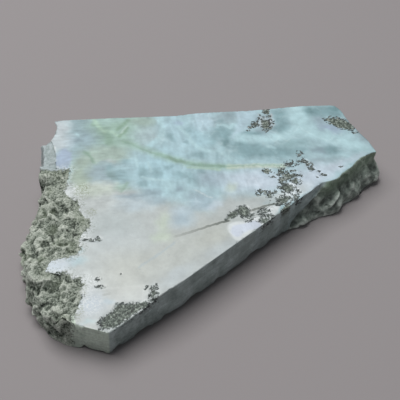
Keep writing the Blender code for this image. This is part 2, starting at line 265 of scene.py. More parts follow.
RIGHT_LAYERS = (
    wash(SEA, 25, 32.6, 2.4, 6, 0.85, turn=-4), wash(SEA, 23.8, 28.8, 1.9, 1.8, 0.7),
    wash(SEA, 35.6, 36.4, 4, 2.6, 1), wash(DEEP_SEA, 34.8, 36.5, 1.3, 0.9, 0.7),
    wash(SEA, 41.4, 35.6, 3.4, 3, 1, turn=-15), wash(DEEP_SEA, 42.6, 37, 1.4, 1, 0.9),
    wash(STEEL, 45.4, 32, 1.4, 2.8, 0.7, turn=20), wash(DUSK, 36.8, 31, 2, 2.8, 0.8, turn=20),
    wash(LILAC, 39.4, 27.4, 3, 1.7, 0.75, turn=-25), wash(SEA, 16.6, 27.7, 4.8, 1.3, 0.8, turn=8),
    wash(DEEP_SEA, 15.6, 27.5, 1.7, 0.6, 0.5), wash(SEA, 12.8, 21.6, 4.4, 2, 0.85),
    wash(SEA, 13.2, 19, 4.8, 2.6, 0.95), wash(DEEP_SEA, 16.6, 17.6, 1.4, 0.9, 0.5),
    wash(SEA, 21.6, 18.6, 5, 2.8, 0.95), wash(LAGOON, 25.2, 22, 3, 1.8, 1),
    wash(LAGOON, 29.4, 22.2, 1.8, 1.8, 0.8), wash(SEA, 27.8, 18.8, 2.2, 1.2),
    wash(SLATE, 33.4, 17.9, 2.6, 1.6, 0.85), wash(SEA, 37.4, 18, 2, 1.9, 0.9),
    wash(SEA, 45, 17.6, 1.6, 0.8, 0.5), wash(STEEL, 33, 13.6, 3.2, 1.2, 0.8),
    wash(STEEL, 38, 13.6, 2.8, 1.2, 0.7, turn=15),
    streak(ICE, 2.7, 1, (30.5, 38.8), (30.4, 33), (30.3, 27.6), edge=0.7),
    streak(ICE, 1.7, 0.9, (30, 29), (27.4, 26.2), (23, 24.8), (17, 24.5), (11, 25.6)),
    streak(ICE, 2, 0.85, (31.2, 27.8), (33.4, 25.2), (36.6, 23.4), (40, 21.8), (43.4, 20.2),
           (46.8, 18.2), edge=0.7),
    streak(ICE, 0.6, 0.6, (36.6, 23.2), (38.4, 24.8), (37.6, 27)),
    streak(ICE, 0.5, 0.5, (31, 24.6), (31.6, 21), (34.6, 20)),
    streak(ICE, 0.6, 0.5, (19, 24.6), (18.4, 21.6), (20.2, 20.4)),
    wash(TEAL, 47.6, 23.6, 1.5, 3.8, 0.75, turn=15), wash(FROST, 15.6, 6.4, 5, 4.2, 0.9),
    wash(DUSK, 15.8, 9, 1.2, 1.6, 0.4), wash(CREAM, 11, -1, 7, 2, 0.9, turn=12),
    wash(WHITE, 20, 0.6, 4.2, 2.2, 0.8, turn=30), wash(WHITE, 22, 4.2, 1.6, 1, 0.9, 0.4),
    wash(FROST, 28.6, 7, 7, 4.6, 0.95, turn=35), wash(FROST, 42.6, 14, 4, 1.4, 0.5, turn=20),
    wash(FROST, 36, 10.2, 3.8, 1.8, 0.85, turn=25), wash(WHITE, 24, 2.6, 3.4, 1.8, turn=35),
    wash(DUSK, 19.4, 31.6, 3, 4, 0.8, turn=-8), wash(PEARL, 19.8, 32, 2.4, 3.4, 0.4, turn=-8),
    wash(POWDER, 16, 35.6, 1.5, 2.6, 0.85, turn=-20),
    streak(PEARL, 0.3, 0.8, (18.4, 35.8), (19.2, 33.6), (18.4, 30.6)),
    streak(PEARL, 0.3, 0.8, (22.4, 35.6), (21.6, 33), (22.2, 30.4)),
    streak(SLATE, 0.35, 0.6, (18.8, 35), (16.8, 32.6), (14.6, 30.2)),
)

FRONT_LAYERS = (
    wash(MAUVE, -28, -5.6, 6.4, 4.4), wash(PEARL, -26, -13, 7, 4, 0.4),
    wash(IVORY, -25, -22, 6.4, 7.6, 0.75, turn=-20), wash(IVORY, -13, -17, 8, 5, 0.55, turn=33),
    wash(IVORY, -2.4, -11.8, 5, 3.6, 0.8, turn=33), wash(PEARL, -13.4, -25, 5.4, 1.7, turn=33),
    wash(PEARL, 0, -16.6, 5, 1.7, 0.5, turn=33), wash(BUTTER, -14.6, -6.6, 2, 3.4, 0.7, turn=-8),
    wash(BUTTER, -15.6, -11.4, 2.6, 1.7, 0.8), wash(HAZE, -9, -3, 2.8, 1.7, 0.7),
    wash(HAZE, -9.4, -5.6, 3.2, 2.8, 0.7), wash(DUSK, -9.8, -5.4, 1.2, 1.5),
    wash(FROST, -0.4, -1.6, 2.2, 1.5, turn=40), wash(CYAN, -37.4, -17.6, 2.2, 1.6),
    wash(FROST, -42.6, -18.2, 3.4, 2.2, 0.75), wash(SLATE, -39.4, -17.2, 0.8, 0.6, 0.5),
    wash(ICE, -36.2, -14, 1.3, 0.9), wash(WHITE, -35, -25.6, 1.7, 3),
    wash(FROST, -34.2, -31.6, 3.2, 3.4, 0.7), wash(HAZE, -30, -31.8, 1.5, 0.8, 0.7),
    wash(ICE, -35.2, -37, 1.6, 0.8, 0.5),
    streak(WHITE, 1.6, 1, (3.8, -9.6), (6.6, -9), (10.4, -8.2), edge=0.2),
    streak(WHITE, 2, 1, (3.9, -10.2), (4.6, -12.8), (7, -11.4), edge=0.2),
    streak(PATCH_LILAC, 1.5, 0.9, (4.2, -11.8), (4.6, -10.4), (7.4, -9.8), (9.4, -9.6), edge=0.3),
    wash(WHITE, 15.6, -4.4, 2.2, 1.4, 0.9, 0.25, turn=35),
    streak(DUSK, 0.3, 0.35, (-22, -21), (-18.6, -18.6), (-15, -15.6), (-12.4, -13.6)),
)

# Clusters of dark grains: middle, half lengths, how closely they lie, and any turn
CLUSTERS = (
    (21.3, 37.1, 0.9, 1.6, 0.6), (19.9, 31.2, 1, 2.2, 1.1, -6), (16.6, 31.2, 0.9, 1.5, 0.4, -40),
    (15, 30, 0.7, 0.6, 0.2), (14.2, 28.8, 0.6, 0.4, 0), (21, 29.3, 0.6, 0.6, 0.4),
    (19, 28.8, 0.8, 0.6, 0.1), (22.2, 33, 0.5, 2.2, -0.5), (18, 33.6, 0.5, 1.8, -0.4, -25),
    (40.2, 31.3, 1.5, 0.9, 1, -25), (42.7, 29.6, 2.6, 1.35, 2, -33), (45, 27.8, 1.1, 1.1, 1.2),
    (46.2, 25.2, 1.8, 0.7, -0.45), (27.2, 16.8, 1, 1.3, -0.35), (23.4, 13, 1.7, 1.2, -0.1),
    (27.2, 13.9, 1.4, 0.8, 0.1), (28.9, 12.4, 0.9, 1.9, 0, 10), (29.2, 10.7, 0.9, 0.8, 0.4),
    (30.9, 9.4, 0.7, 0.4, 0.3), (32.1, 7.8, 0.9, 0.4, 0.4), (25.8, 7.8, 0.4, 0.6, 0),
    (30.1, 7, 0.4, 0.4, -0.1), (38, 10.7, 0.7, 0.3, 0.1), (16.4, 10.8, 0.9, 0.7, 1.4, -20),
    (17.1, 8.4, 0.6, 0.4, 0.5), (20.5, 10.2, 0.8, 1.4, 0.5), (22, 8.4, 2.4, 1.7, 0.4),
    (20.2, 6.6, 1.1, 2, 0.3), (23.8, 6, 1.1, 1.1, 0.5), (20.6, 3.4, 1.9, 1.4, 0.7),
    (23.5, 1.8, 0.6, 0.9, 0.4), (13.5, 2.6, 1.7, 0.7, 0.35, -8), (12.1, 1.6, 0.7, 0.5, 0.3),
    (15.4, 1.2, 0.7, 1.1, 0.4, -35), (17.2, 2.3, 0.8, 0.4, 0.4), (18.8, -1, 2.6, 1.4, 0.4, 20),
    (22, -0.4, 1.6, 1.2, -0.1, 35), (18.8, -4.2, 1.1, 0.6, 1.8, 38), (12.7, -4.6, 1.9, 0.9, 0, 20),
    (12.2, -7.9, 1.3, 1.7, 0.4, -20), (13.7, -6.7, 1, 0.8, 0.3), (4, -5.2, 1.2, 0.7, 1.6, 35),
    (2.5, -6.5, 0.9, 0.4, 0.4, 30), (7.1, -4.2, 1.1, 1.5, 1.6, 5), (8, -7, 1.5, 1, 0),
    (9, -5.6, 0.6, 0.9, 0.1), (-34.2, -10.7, 1.4, 0.4, 0.5, -10), (-31.8, -10.6, 0.7, 0.7, 0.4),
    (-31.9, -26.3, 1.2, 0.5, 0.4, -15), (-32.5, -23.6, 0.8, 0.9, -0.95), (-26.9, -22.7, 0.3, 0.3, -0.1),
    (-19.4, -29.4, 0.9, 2.2, 0.45, -8), (-20.9, -27.6, 0.6, 0.6, -0.3), (-29.1, -37.1, 2.2, 1.3, 2.2, 28),
    (-27, -35.4, 1.4, 1.7, 2.2), (-24.8, -34.5, 1.8, 1.1, 1.9, 35), (-22.4, -33, 1.4, 0.8, 1.2, 35),
    (-31, -38.4, 1.4, 1.2, 0.8, 30),
)
CLUSTER_FAR = -4.0
MINERAL_PIT = 0.14
CRACK_FAR = 4.0

# Thin dark cracks with how strongly each end shows, and specks and crumbs beside the rind
CRACKS = (
    (0.25, 0.95, ((-12, -11.7), (-7, -10.1), (-3, -8.8), (2.4, -7.3))),
    (0.7, 0.9, ((8.2, -4.5), (11, -3.6), (14, -2.7), (17.4, -2))),
    (0.3, 0.2, ((-31, -29.2), (-30, -29))),
)
SPECKS = (
    ((-35.4, 7.6), (3, 4.2)),
    ((-33.2, -0.8), (1.8, 1.8)),
    ((-37.6, -33.4), (2, 4)),
    ((-36.6, -27), (1.8, 3.6)),
)
CRUMBS = (
    ((-34.4, -25), (2.6, 3.8)),
    ((-34.4, -32), (3.4, 4.4)),
    ((-35.4, -9.6), (2, 1.8)),
    ((-37.4, 8.2), (2, 1.6)),
)

# Ridges and hollows of the broken side: half width, rise, points with height
RIDGES = (
    (0.9, 1, ((31.6, 0.4, 2.2), (33.6, 1.4, 3.4), (35.6, 3.8, 5.2), (37, 5.6, 6.6))),
    (0.7, 0.4, ((19.4, -3.8, 1), (22.6, -1.8, 4.2), (26, 1, 6.6), (30, 3.8, 8.6))),
    (2.4, -0.9, ((22.4, -2.6, 2.4), (24.4, -1, 3.8))),
    (2, -0.7, ((32, 2, 4.4), (34.6, 4.4, 6.6))),
    (2.2, -0.6, ((38.6, 6.4, 3.6), (40.4, 8.6, 5.6))),
)

# Turns the broken side's splinters, which run up to the right, along the third axis
SPLINTER_TURN = np.array(Matrix.Rotation(math.radians(38.0), 3, Vector((0.62, -0.78, 0.0))))

# How far in the rind stays level with the polish, and the chips along the lower front edge
FLUSH_REACH = 2.2
CHIP_REACH = 2.6
CHIP_DEPTH = 1.2
CHIP_WAY = (-0.42, 0.58, 0.7)
FOOT = 1.6
FOOT_CUT = 0.6
FOOT_WAY = (-0.5, 0.8, 0.0)

# How the worn corner shifts what the photograph shows over it
CORNER_DROP = (0.10, -1.2)

# Camera and studio
CAMERA_AT = (-29.86, -149.88, 164.0)
LOOKS_AT = (-2.13, 11.85, 0.0)
CAMERA_ROLL = 3.151
CAMERA_LENS = 72.0
SENSOR = 36.0
FLOOR_SIZE = 4000.0
FLOOR_COLOUR = (153, 148, 149)
FLOOR_ROUGHNESS = 0.9
KEY_ELEVATION = 70.0
KEY_AZIMUTH = 38.0
KEY_DISTANCE = 900.0
KEY_SIZE = 700.0
KEY_POWER = 7.9
KEY_COLOUR = (1.0, 0.99, 0.985)
SKY_STRENGTH = 0.165
SKY_COLOUR = (0.93, 0.97, 1.0, 1.0)


def linear(colour):
    """Scene-linear values of a colour that is given out of 255."""
    share = np.asarray(colour, float) / 255.0
    return np.where(share <= 0.04045, share / 12.92, ((share + 0.055) / 1.055) ** 2.4)


def rgba(colour):
    return (*(float(value) for value in linear(colour)), 1.0)


def fade(low, high, value):
    """A smooth rise from 0 at low to 1 at high."""
    share = np.clip((np.asarray(value, float) - low) / (high - low), 0.0, 1.0)
    return share * share * (3.0 - 2.0 * share)


def line_distance(places, points):
    """Distance from each place to a line through points."""
    nearest = np.full(len(places), np.inf)
    points = np.asarray(points, float)
    for start, end in zip(points, points[1:]):
        along = end - start
        share = np.clip((places - start) @ along / max(along @ along, 1e-9), 0.0, 1.0)
        gap = places - (start + share[:, None] * along)
        nearest = np.minimum(nearest, np.sqrt((gap ** 2).sum(1)))
    return nearest


def inside_outline(plan, outline):
    """Whether each plan place lies inside a closed outline."""
    inside = np.zeros(len(plan), bool)
    x, y = plan[:, 0], plan[:, 1]
    for (x0, y0), (x1, y1) in zip(outline, outline[1:] + outline[:1]):
        if y0 == y1:
            continue
        crossing = x0 + (y - y0) / (y1 - y0) * (x1 - x0)
        inside ^= ((y0 > y) != (y1 > y)) & (x < crossing)
    return inside


def noise_spots(places, size, shift, way):
    """Places in units of a size, moved so that no two noises match."""
    offset = Vector([shift * share for share in way])
    return [Vector(place) / size + offset for place in places]


def lumps(places, size, shift=0.0):
    """Smooth noise from -1 to 1 at each place, with lumps of about a size."""
    return np.array([noise.noise(spot) for spot in noise_spots(places, size, shift, (1.0, 2.3, 5.1))])


def drifts(places, size, shift=0.0):
    """Smooth noise vectors at each place."""
    spots = noise_spots(places, size, shift, (1.0, 3.7, 1.9))
    return np.array([noise.noise_vector(spot) for spot in spots])


def cells(places, size, shift):
    """Each place with its distances to the nearest random points, and those points."""
    for spot in noise_spots(places, size, shift, (1.0, 1.7, 2.9)):
        yield spot, *noise.voronoi(spot)


def cell_gaps(places, size, shift):
    """Distance from the walls between random cells."""
    return np.array([gaps[1] - gaps[0] for _, gaps, _ in cells(places, size, shift)])


def polished_height(plan):
    """Height of the polished face, with its worn corner."""
    box_top = cad_box[1][2] / MM
    distance = np.hypot(plan[:, 0] - CORNER[0], plan[:, 1] - CORNER[1])
    return box_top - CORNER_WEAR * (1.0 - fade(CORNER_WEAR_INNER, CORNER_WEAR_OUTER, distance))


def face_kind(face):
    """Which surface of the slab a face of the solid belongs to."""
    corners = np.array([vertex.co for vertex in face.verts])
    plan = corners[:, :2]
    if corners[:, 2].max() < FLAT_TOLERANCE:
        return BASE
    if np.abs(corners[:, 2] - polished_height(plan)).max() < LEVEL_TOLERANCE:
        return TOP
    for cut in (FRONT_CUT, BACK_CUT):
        if line_distance(plan, cut).max() < FLAT_TOLERANCE:
            return SAWN
    return NATURAL


def is_arris(edge, kind):
    """Whether the saw left this sharp edge."""
    kinds = {face[kind] for face in edge.link_faces}
    if kinds == {SAWN}:
        return edge.calc_face_angle(0.0) > math.radians(SHARP_ANGLE)
    return SAWN in kinds and (TOP in kinds or BASE in kinds)


def refined_slab(node):
    """A copy of the solid with short edges everywhere, in millimetres."""
    mesh = bmesh.new()
    mesh.from_mesh(node.data)
    bmesh.ops.scale(mesh, vec=(1.0 / MM,) * 3, verts=mesh.verts)
    bmesh.ops.remove_doubles(mesh, verts=mesh.verts, dist=0.001)
    kind = mesh.faces.layers.int.new("kind")
    for face in mesh.faces:
        face[kind] = face_kind(face)
    for _ in range(REFINE_PASSES):
        arris = {vertex for edge in mesh.edges if is_arris(edge, kind) for vertex in edge.verts}
        long_edges = []
        for edge in mesh.edges:
            wanted = min(STEP[face[kind]] for face in edge.link_faces)
            if edge.verts[0] in arris or edge.verts[1] in arris:
                wanted = ARRIS_STEP
            if edge.calc_length() > wanted:
                long_edges.append(edge)
        if not long_edges:
            break
        bmesh.ops.subdivide_edges(mesh, edges=long_edges, cuts=1)
        bmesh.ops.triangulate(mesh, faces=[face for face in mesh.faces if len(face.verts) > 3])
        for flat in (TOP, BASE):
            even_out(mesh, kind, flat)
    return mesh, kind


def even_out(mesh, kind, name):
    """Turn edges inside a flat surface so that its triangles are less slender."""
    faces = [face for face in mesh.faces if face[kind] == name]
    edges = [edge for edge in mesh.edges if all(face[kind] == name for face in edge.link_faces)]
    bmesh.ops.beautify_fill(mesh, faces=faces, edges=edges, method="AREA")


class Skin:
    """The fine mesh as arrays."""

    def __init__(self, mesh, kind):
        mesh.verts.index_update()
        self.places = np.array([vertex.co for vertex in mesh.verts])
        self.edges = np.array([[end.index for end in edge.verts] for edge in mesh.edges])
        self.faces = np.array([[corner.index for corner in face.verts] for face in mesh.faces])
        kinds = np.array([face[kind] for face in mesh.faces])
        count = len(self.places)
        self.degree = np.bincount(self.edges.ravel(), minlength=count).astype(float)
        self.share = {}
        around = np.bincount(self.faces.ravel(), minlength=count)
        for name in (TOP, SAWN, NATURAL, BASE):
            chosen = self.faces[kinds == name].ravel()
            self.share[name] = np.bincount(chosen, minlength=count) / around
        self.arris = np.zeros(count)
        self.arris[[end.index for edge in mesh.edges if is_arris(edge, kind) for end in edge.verts]] = 1.0

    def gathered(self, vertices, values):
        """Rows of values summed over the vertices that they belong to."""
        return np.stack([np.bincount(vertices, weights=column, minlength=len(self.degree))
                         for column in values.T], axis=1)

    def mean_around(self, values):
        """The mean of a value over each vertex's neighbours."""
        flat = values.reshape(len(values), -1)
        here, there = self.edges.T
        total = self.gathered(here, flat[there]) + self.gathered(there, flat[here])
        return (total / self.degree[:, None]).reshape(values.shape)

    def spread(self, values, times):
        """A value blurred over its neighbours."""
        for _ in range(times):
            values = 0.5 * (values + self.mean_around(values))
        return values

    def relax(self, weight, times):
        """Round the surface off where weight is above zero."""
        for _ in range(times):
            pull = self.mean_around(self.places) - self.places
            self.places = self.places + 0.5 * weight[:, None] * pull

    def normals(self):
        a, b, c = (self.places[self.faces[:, corner]] for corner in range(3))
        across = np.cross(b - a, c - a)
        total = sum(self.gathered(corner, across) for corner in self.faces.T)
        return total / np.maximum(np.linalg.norm(total, axis=1), 1e-12)[:, None]


def rind_depth(plan):
    """Distance inside the rind, negative out in the stone."""
    distance = line_distance(plan, CONTACT)
    return np.where(inside_outline(plan, CONTACT + RIND_BEYOND), distance, -distance)


def facets(places, size, shift):
    """Heights of flat facets that lean at random."""
    heights = []
    for spot, _, centres in cells(places, size, shift):
        lean = noise.noise_vector(centres[0] * 5.3)
        heights.append(lean.x + 1.6 * (spot - centres[0]).dot(lean))
    return np.array(heights)


def scoops(places, size, shift):
    """Heights of round hollows with crisp ridges between them."""
    return np.array([gaps[0] ** 2 for _, gaps, _ in cells(places, size, shift)])


def crust_relief(places):
    """Heights of the rind's blocks, creases, grains and pits."""
    drift = 0.9 * drifts(places, 2.0, 22.0)
    blocks = lumps(places, 5.5, 20.0)
    grains = np.minimum(cell_gaps(places, 1.0, 4.0), 0.5) / 0.5
    pits = fade(0.2, 0.4, lumps(places, 2.4, 7.0))
    return (0.7 * blocks + 0.8 * facets(places + drift, 4.2, 21.0)
            + 0.36 * facets(places + 0.5 * drift, 1.9, 23.0) + 0.18 * lumps(places, 1.0, 3.0)
            + 0.12 * (grains - 0.6) - 0.6 * pits)


def broken_relief(places):
    """Heights of the broken side's slanting splinters and hollows."""
    slant = places @ SPLINTER_TURN
    slant = slant * (1.0, 1.0, 0.5) + 0.6 * drifts(places, 2.4, 24.0)
    return (1.35 * scoops(slant, 5.6, 2.0) + 0.22 * facets(slant, 2.0, 5.0)
            + 0.08 * lumps(places, 0.7, 6.0) - 0.4)


def ledge_relief(places):
    """Heights of the pale stepped ledge at the left."""
    return 0.4 * facets(places, 2.6, 8.0) + 0.08 * lumps(places, 0.9, 9.0) - 0.05


def ridge_relief(places):
    """Heights of the ridges and hollows of the broken side."""
    height = np.zeros(len(places))
    for width, rise, points in RIDGES:
        distance = line_distance(places, points)
        height += rise * (1.0 - fade(0.0, width, distance))
    return height


def lift_to_contact(skin, moving):
    """The rind starts flush with the polished face."""
    places = skin.places[moving]
    depth = rind_depth(places[:, :2])
    flush = polished_height(places[:, :2]) - 0.15 - 0.45 * np.maximum(depth - FLUSH_REACH, 0.0)
    edge = 0.8 * (places[:, 1] > FRONT_FACE)
    near = fade(-1.0, -0.2, depth + edge) * (1.0 - fade(FLUSH_REACH, 2.2 * FLUSH_REACH, depth))
    lift = np.maximum(flush - places[:, 2], 0.0) * near * fade(1.0, 5.0, places[:, 2])
    skin.places[moving, 2] += lift


def short_face(places):
    """How surely each place lies on the short front face."""
    across, along, height = places.T
    start = ROCK_ENDS[0] + (ROCK_ENDS[1] - ROCK_ENDS[0]) * height / 10.0
    wander = 0.8 * lumps(places, 2.4, 51.0)
    return fade(-0.5, 0.5, across - start - wander) * (along < FRONT_FACE)


def beyond_saw(places):
    """How far each place lies past the slanting end of the front cut."""
    return places[:, 0] - SAW_REACH[0] - (SAW_REACH[1] - SAW_REACH[0]) * places[:, 2] / 10.0


def shape_natural_sides(skin):
    """Smooth away the solid's facets, then throw up the stone's own relief."""
    natural = (skin.share[NATURAL] > 0.99).astype(float)
    skin.relax(natural, 6)
    raise_ledge(skin)
    weight = fade(0.1, 0.9, skin.spread(natural, 2)) * natural
    moving = np.flatnonzero(weight > 0.0)
    lift_to_contact(skin, moving)
    places = skin.places[moving]
    depth = rind_depth(places[:, :2])
    crusty = fade(-0.4, 0.6, depth)
    right = fade(0.0, 10.0, places[:, 0])
    calm = 0.25 + 0.75 * fade(0.0, FLUSH_REACH, depth)
    calm *= 1.0 - 0.85 * short_face(places)
    relief = crusty * calm * crust_relief(places)
    end = 1.0 - 0.7 * fade(14.0, 18.0, places[:, 1])
    broken = end * fade(-1.0, 1.5, beyond_saw(places)) * broken_relief(places)
    relief += (1.0 - crusty) * right * (broken + ridge_relief(places))
    relief += (1.0 - crusty) * (1.0 - right) * ledge_relief(places)
    shift = skin.normals()[moving] * (relief * weight[moving])[:, None]
    skin.places[moving] += shift


def raise_ledge(skin):
    """The pale ledge lies just below the polished face."""
    across, along, height = skin.places.T
    ledge = (across < LEDGE_INNER) & (along > LEDGE_FROM) & (skin.share[NATURAL] > 0.5)
    share = 0.9 * fade(5.0, 7.0, height) * (1.0 - fade(28.0, 29.5, along)) * ledge
    skin.places[:, 2] += share * np.maximum(LEDGE_TOP - height, 0.0)


def wear_arrises(skin):
    """Round the sawn edges slightly and knock small chips out of them."""
    near = np.clip(skin.spread(skin.arris, 1) * 2.0, 0.0, 1.0)
    skin.relax(near, 3)
    chipped = np.flatnonzero(near > 0.05)
    places = skin.places[chipped]
    chip = fade(0.30, 0.55, lumps(places, 1.5, 11.0))
    chip += 0.6 * fade(0.25, 0.5, lumps(places, 0.6, 12.0))
    depth = 0.16 * chip * near[chipped]
    skin.places[chipped] -= skin.normals()[chipped] * depth[:, None]


def break_bottom_edge(skin):
    """Larger chips out of the lower edge of the front cut."""
    edge = [(x, y, 0.0) for x, y in FRONT_CUT]
    distance = line_distance(skin.places, edge)
    near = np.flatnonzero(distance < CHIP_REACH)
    places = skin.places[near]
    chip = 0.5 + 0.7 * fade(0.1, 0.4, lumps(places * (1.0, 1.0, 0.0), 4.2, 31.0))
    chip += 0.4 * fade(0.0, 0.5, lumps(places, 0.9, 32.0))
    depth = CHIP_DEPTH * chip * (1.0 - distance[near] / CHIP_REACH) ** 1.5
    skin.places[near] += depth[:, None] * CHIP_WAY


def undercut_broken_side(skin):
    """The broken side's foot stands back from the floor it rests on."""
    across, along, height = skin.places.T
    foot = (skin.share[BASE] < 0.99) & (across > SAW_REACH[0]) & (height < FOOT)
    moved = np.flatnonzero(foot & (along < 0.75 * across))
    depth = FOOT_CUT * (1.0 - skin.places[moved, 2] / FOOT)
    skin.places[moved] += depth[:, None] * FOOT_WAY


def roughen_top(skin, field, depth):
    """The dark mineral and the rock lie below the polish."""
    top = skin.share[TOP] > 0.99
    pitted = np.flatnonzero(top & ((field > -1.2) | (depth > -0.3)))
    places = skin.places[pitted]
    rough = lumps(places, 0.9, 13.0)
    mineral = MINERAL_PIT * fade(-0.6, 0.6, field[pitted] + 1.2 * rough)
    coarse = 0.22 + 0.3 * np.abs(rough) + 0.2 * lumps(places, 2.2, 14.0)
    rock = fade(-0.2, 0.4, depth[pitted]) * coarse
    skin.places[pitted, 2] -= np.maximum(mineral, np.maximum(rock, 0.0))


def keep_in_box(skin):
    skin.places = np.clip(skin.places, *(np.array(cad_box) / MM))


def base_colours(plan):
    """Cream towards the front and aqua towards the back."""
    coast = np.interp(plan[:, 0], [x for x, _ in COAST], [y for _, y in COAST])
    share = fade(-COAST_WIDTH, COAST_WIDTH, plan[:, 1] - coast)[:, None]
    return (1.0 - share) * CREAM + share * AQUA


def oval_places(plan, centre, reach, turn=0.0):
    """Plan places counted in half lengths along and across a turned oval."""
    angle = math.radians(turn)
    gap = plan - centre
    along = gap[:, 0] * math.cos(angle) + gap[:, 1] * math.sin(angle)
    across = gap[:, 1] * math.cos(angle) - gap[:, 0] * math.sin(angle)
    return along / reach[0], across / reach[1]


def layer_share(layer, plan):
    """How much of a layer's colour each plan place takes."""
    if "points" in layer:
        reach = line_distance(plan, layer["points"]) / layer["width"]
    else:
        reach = np.hypot(*oval_places(plan, layer["centre"], layer["reach"], layer["turn"]))
    edge = layer["edge"]
    return layer["strength"] * (1.0 - fade(1.0 - edge, 1.0 + edge, reach))


def painted_plan(plan):
    """Plan places as the tables give them, at the level of the whole polished face."""
    wear = cad_box[1][2] / MM - polished_height(plan)
    return plan + wear[:, None] * CORNER_DROP


def stone_colours(places):
    """The stone's painted colours at each place, out of 255."""
    wide = drifts(places, 4.0)[:, :2]
    fine = drifts(places, 1.5, 4.0)[:, :2]
    seen = painted_plan(places[:, :2])
    plan = seen + 1.0 * wide + 0.7 * fine
    thin_plan = seen + 0.25 * wide + 0.3 * fine
    colours = base_colours(plan)
    for layer in LEFT_LAYERS + MIDDLE_LAYERS + RIGHT_LAYERS + FRONT_LAYERS:
        share = layer_share(layer, thin_plan if "points" in layer else plan)[:, None]
        colours = colours * (1.0 - share) + share * layer["colour"]
    return colours * (1.0 + cloud_values(places))[:, None] + web_values(places)[:, None] * WEB_TINT


def cloud_values(places):
    """Lighter and darker clouds: level strokes at the left, upright fibres in the middle."""
    left = (1.0 - fade(-26.0, -16.0, places[:, 0])) * fade(-4.0, 6.0, places[:, 1])
    bright = 0.6 + 0.4 * fade(-6.0, 4.0, places[:, 1])
    cloud = bright * (0.08 * lumps(places, 2.6, 41.0) + 0.045 * lumps(places, 1.1, 42.0))
    level = lumps(places * (0.28, 1.0, 1.0), 0.75, 43.0)
    upright = lumps(places * (1.0, 0.25, 1.0), 0.8, 44.0)
    return cloud + 0.075 * left * level + 0.06 * upright * fibre_field(places[:, :2])


def web_values(places):
    """Thin pale threads between the cells of the blue stone."""
    drift = drifts(places, 3.0, 45.0)
    threads = 1.0 - np.abs(lumps(places + 0.8 * drift, 3.4, 46.0)) / 0.10
    patchy = fade(-0.1, 0.4, lumps(places, 6.0, 47.0))
    blue = fade(-2.0, 4.0, places[:, 1] - np.interp(places[:, 0], *zip(*COAST)))
    return np.clip(threads, 0.0, 1.0) * patchy * blue * fade(-20.0, -12.0, places[:, 0])


def mineral_field(plan):
    """How far inside the clusters of dark grains each place lies."""
    field = np.full(len(plan), CLUSTER_FAR)
    for x, y, along, across, fill, *turn in CLUSTERS:
        level, upright = oval_places(plan, (x, y), (along, across), *turn)
        field = np.maximum(field, fill + 1.0 - level ** 2 - upright ** 2)
    return field


def crack_fields(plan):
    """Signed distance from the nearest crack's line, and how strongly the crack shows."""
    signed = np.full(len(plan), CRACK_FAR)
    shown = np.zeros(len(plan))
    nearest = np.full(len(plan), np.inf)
    for first, last, points in CRACKS:
        points = np.array(points)
        whole = points[-1] - points[0]
        strength = first + (last - first) * np.clip((plan - points[0]) @ whole / (whole @ whole), 0.0, 1.0)
        for start, end in zip(points, points[1:]):
            length = np.linalg.norm(end - start)
            along = (end - start) / length
            gap = plan - start
            run = gap @ along
            side = gap[:, 1] * along[0] - gap[:, 0] * along[1]
            over = np.maximum(0.0, np.maximum(-run, run - length))
            distance = np.hypot(side, over)
            closer = distance < nearest
            nearest[closer] = distance[closer]
            signed[closer] = side[closer]
            shown[closer] = (strength * (1.0 - fade(0.1, 0.8, over)))[closer]
    return np.clip(signed, -CRACK_FAR, CRACK_FAR), shown


def speck_field(plan, patches):
    """How thickly specks are sprinkled at each place."""
    field = np.zeros(len(plan))
    for centre, reach in patches:
        distance = np.hypot(*oval_places(plan, centre, reach))
        field = np.maximum(field, 1.0 - fade(0.3, 1.2, distance))
    return field


def fibre_field(plan):
    """Where the stone's fibres show as upright streaks."""
    across = fade(-24.0, -16.0, plan[:, 0]) * (1.0 - fade(10.0, 20.0, plan[:, 0]))
    return across * fade(-4.0, 4.0, plan[:, 1])


def is_rock(skin):
    """The natural side at the left is rind between the ledge and the short front face."""
    across, along, _ = skin.places.T
    wander = 1.6 * lumps(skin.places, 2.4, 52.0)
    left = (across < 0.0) & (along < LEDGE_FROM + wander) & (skin.share[NATURAL] > 0.5)
    return left & (short_face(skin.places) < 0.5)


def add_values(data, name, values):
    data.attributes.new(name, "FLOAT", "POINT").data.foreach_set("value", values.astype(np.float32))


def add_colours(data, name, colours):
    """Store colours as linear values."""
    four = np.ones((len(colours), 4), np.float32)
    four[:, :3] = linear(np.clip(colours, 0.0, 255.0))
    data.attributes.new(name, "FLOAT_COLOR", "POINT").data.foreach_set("color", four.ravel())


